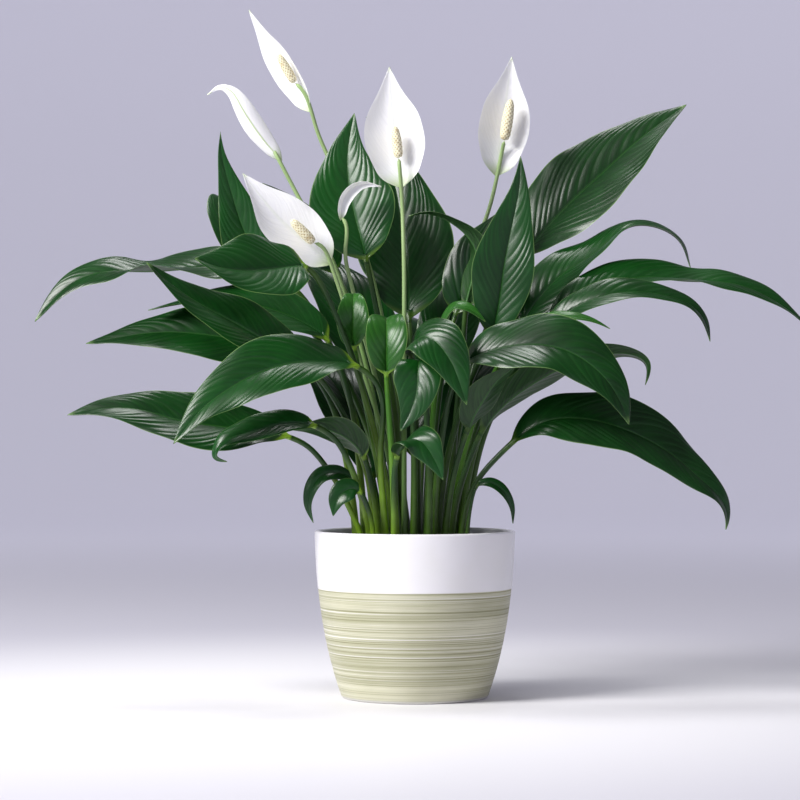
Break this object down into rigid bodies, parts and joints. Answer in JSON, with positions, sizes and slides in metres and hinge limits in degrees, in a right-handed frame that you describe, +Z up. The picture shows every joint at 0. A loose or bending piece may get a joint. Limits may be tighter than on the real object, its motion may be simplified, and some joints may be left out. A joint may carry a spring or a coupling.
{
  "type": "potted peace lily",
  "caption": "Potted flowering house plant with long glossy arching leaves and white hooded flowers on slim stalks, in a round two-tone ceramic pot, for standing on a shelf or table.",
  "frame": {"origin": "centre of the outer pot's flat underside, on the pot's axis, at the surface it stands on", "axes": "+Z up along the pot's axis; +X to the viewer's right, along the plant's widest spread; the plant's best side faces -Y"},
  "size_m": [0.586, 0.2966, 0.5243],
  "materials": {
    "pot_glaze": "glossy white glazed band above; fine horizontal brushed rings in cream, beige and olive brown below, satin",
    "nursery_plastic": "thin moulded black plastic",
    "potting_soil": "moist crumbly potting mix",
    "leaf_deep_green": "waxy deep green blade with arching side veins, greyer underside, pale green stalk",
    "leaf_young_green": "softer bright yellow-green young leaf",
    "flower_stalk": "smooth pale green, satin",
    "spathe_white": "soft white, faint veins, greenish at the base",
    "spadix_cream": "cream with small yellow-brown bumps, matt"
  },
  "bodies": {
    "root": {"flower_bud_spathe": "spathe_white", "flower_bud_stalk": "flower_stalk", "flower_centre_spadix": "spadix_cream", "flower_centre_spathe": "spathe_white", "flower_centre_stalk": "flower_stalk", "flower_left_bent_spadix": "spadix_cream", "flower_left_bent_spathe": "spathe_white", "flower_left_bent_stalk": "flower_stalk", "flower_left_high_spadix": "spadix_cream", "flower_left_high_spathe": "spathe_white", "flower_left_high_stalk": "flower_stalk", "flower_left_low_spadix": "spadix_cream", "flower_left_low_spathe": "spathe_white", "flower_left_low_stalk": "flower_stalk", "flower_right_spadix": "spadix_cream", "flower_right_spathe": "spathe_white", "flower_right_stalk": "flower_stalk", "leaf_arching_inward": "leaf_deep_green", "leaf_back_centre": "leaf_deep_green", "leaf_back_high_left": "leaf_deep_green", "leaf_back_high_right": "leaf_deep_green", "leaf_back_low_left": "leaf_deep_green", "leaf_back_low_right": "leaf_deep_green", "leaf_behind_right": "leaf_deep_green", "leaf_centre_bright": "leaf_deep_green", "leaf_centre_hanging": "leaf_deep_green", "leaf_centre_left_short": "leaf_young_green", "leaf_centre_short": "leaf_young_green", "leaf_centre_small_right": "leaf_young_green", "leaf_far_left": "leaf_deep_green", "leaf_far_right": "leaf_deep_green", "leaf_front_left": "leaf_deep_green", "leaf_front_right": "leaf_deep_green", "leaf_left_arched": "leaf_deep_green", "leaf_left_curled": "leaf_deep_green", "leaf_left_dark_tip": "leaf_deep_green", "leaf_left_hidden": "leaf_deep_green", "leaf_left_pale_tip": "leaf_deep_green", "leaf_left_pointed": "leaf_deep_green", "leaf_left_underside": "leaf_deep_green", "leaf_low_left": "leaf_deep_green", "leaf_low_right": "leaf_deep_green", "leaf_right_drooping": "leaf_deep_green", "leaf_right_high": "leaf_deep_green", "leaf_right_inner": "leaf_deep_green", "leaf_right_small_light": "leaf_young_green", "leaf_right_twisted": "leaf_deep_green", "leaf_right_underside": "leaf_deep_green", "leaf_small_front": "leaf_deep_green", "leaf_small_front_left": "leaf_deep_green", "leaf_small_hooked": "leaf_deep_green", "leaf_small_right": "leaf_deep_green", "leaf_upright_centre": "leaf_deep_green", "leaf_upright_centre_left": "leaf_deep_green", "leaf_upright_left": "leaf_deep_green", "leaf_upright_left_back": "leaf_deep_green", "leaf_upright_right": "leaf_deep_green", "nursery_pot": "nursery_plastic", "outer_pot": "pot_glaze", "soil": "potting_soil"}
  },
  "joints": []
}
